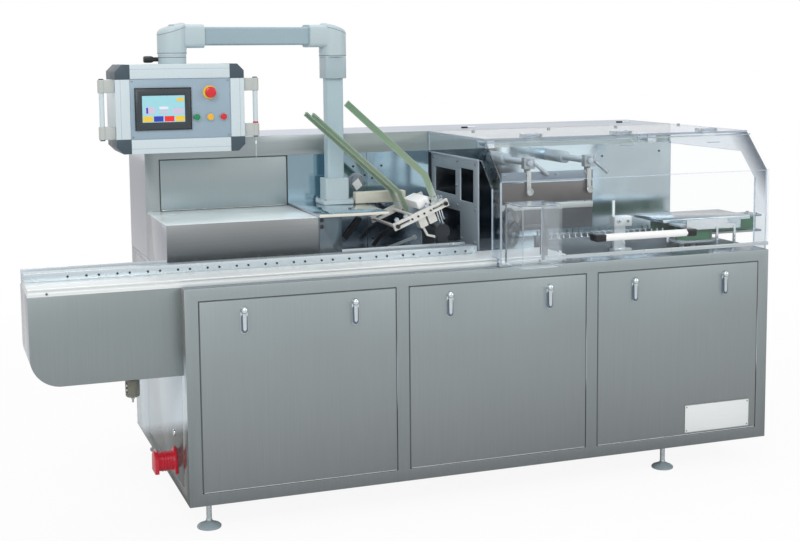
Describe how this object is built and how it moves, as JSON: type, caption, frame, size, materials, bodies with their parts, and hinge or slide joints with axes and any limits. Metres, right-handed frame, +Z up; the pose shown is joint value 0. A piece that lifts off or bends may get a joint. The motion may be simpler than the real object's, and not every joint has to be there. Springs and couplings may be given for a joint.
{
  "type": "automatic cartoner",
  "caption": "Automatic cartoning machine: steel base cabinet, bucket infeed, inclined carton magazine, hinged clear guard hood, side-belt outfeed and a control box on a swinging pendant arm.",
  "frame": {"origin": "centre of the footprint box on the floor", "axes": "+X along the line from infeed to outfeed, +Y to the back cabinet, +Z up, front faces -Y"},
  "size_m": [2.99, 1.282, 1.744],
  "materials": {
    "cabinet_steel": "satin",
    "cover_steel": "satin",
    "side_steel": "satin",
    "polished_steel": "polished",
    "deck_aluminium": "anodised",
    "machined_steel": "machined",
    "dark_steel": "satin black",
    "latch_chrome": "bright",
    "zinc_steel": "zinc plated",
    "pendant_grey": "satin",
    "pendant_cast": "satin",
    "box_white": "satin",
    "corner_slate": "moulded",
    "face_blue": "satin",
    "panel_black": "gloss",
    "stop_red": "gloss",
    "button_metal": "bright",
    "inlet_red": "gloss",
    "filter_grey": "gloss",
    "rail_green": "satin",
    "arm_beige": "satin",
    "white_plastic": "satin",
    "guide_bronze": "satin",
    "belt_green": "matte",
    "clear_sheet": "clear"
  },
  "bodies": {
    "machine": {"base_cabinet": "cabinet_steel", "front_panels": "cabinet_steel", "rear_panels": "cabinet_steel", "side_panels": "side_steel", "panel_latches": "latch_chrome", "levelling_feet": "zinc_steel", "back_cabinet": "cabinet_steel", "polished_wall": "polished_steel", "infeed_housing": "cabinet_steel", "infeed_deck": "deck_aluminium", "infeed_guides": "machined_steel", "infeed_chain": "machined_steel", "bucket_dividers": "machined_steel", "infeed_cover": "cover_steel", "air_filter": "filter_grey", "power_inlet": "inlet_red", "pedestal": "machined_steel", "post_foot": "pendant_cast", "post_tube": "pendant_grey", "post_collar": "pendant_cast", "magazine_rails": "rail_green", "magazine_mouth": "machined_steel", "magazine_arm": "arm_beige", "carton_follower": "white_plastic", "separator_head": "machined_steel", "feeder_bulkhead": "dark_steel", "suction_feeder": "dark_steel", "carton_track": "machined_steel", "guide_shafts": "latch_chrome", "guide_clamps": "machined_steel", "guide_plates": "guide_bronze", "bearing_stand": "machined_steel", "handwheel": "panel_black", "outfeed_plates": "dark_steel", "outfeed_rollers": "machined_steel", "outfeed_belts": "belt_green", "outfeed_cover": "polished_steel", "outfeed_guard": "latch_chrome", "hood_top": "clear_sheet", "hood_ends": "clear_sheet", "lid_hinge_pins": "latch_chrome", "lid_stays": "machined_steel"},
    "pendant_arm": {"post_elbow": "pendant_cast", "arm_tube": "pendant_grey", "drop_elbow": "pendant_cast"},
    "control_box": {"box_neck": "pendant_cast", "box_body": "box_white", "box_corners": "corner_slate", "box_face": "face_blue", "touch_panel": "panel_black", "emergency_stop": "stop_red", "push_buttons": "button_metal", "box_handles": "box_white"},
    "hood_lid": {"guard_lid": "clear_sheet", "lid_bay": "clear_sheet", "lid_handle": "white_plastic"}
  },
  "joints": [
    {"name": "arm_swing", "type": "hinge", "parent": "machine", "child": "pendant_arm", "pos_m": [-0.266, 0.149, 1.694], "axis": [0, 0, 1], "range_deg": [0, 60]},
    {"name": "box_swivel", "type": "hinge", "parent": "pendant_arm", "child": "control_box", "pos_m": [-0.91788, 0.01756, 1.594], "axis": [0, 0, 1], "range_deg": [-35, 35]},
    {"name": "lid_lift", "type": "hinge", "parent": "machine", "child": "hood_lid", "pos_m": [0.734, -0.355, 1.315], "axis": [-1, 0, 0], "range_deg": [0, 80]}
  ]
}
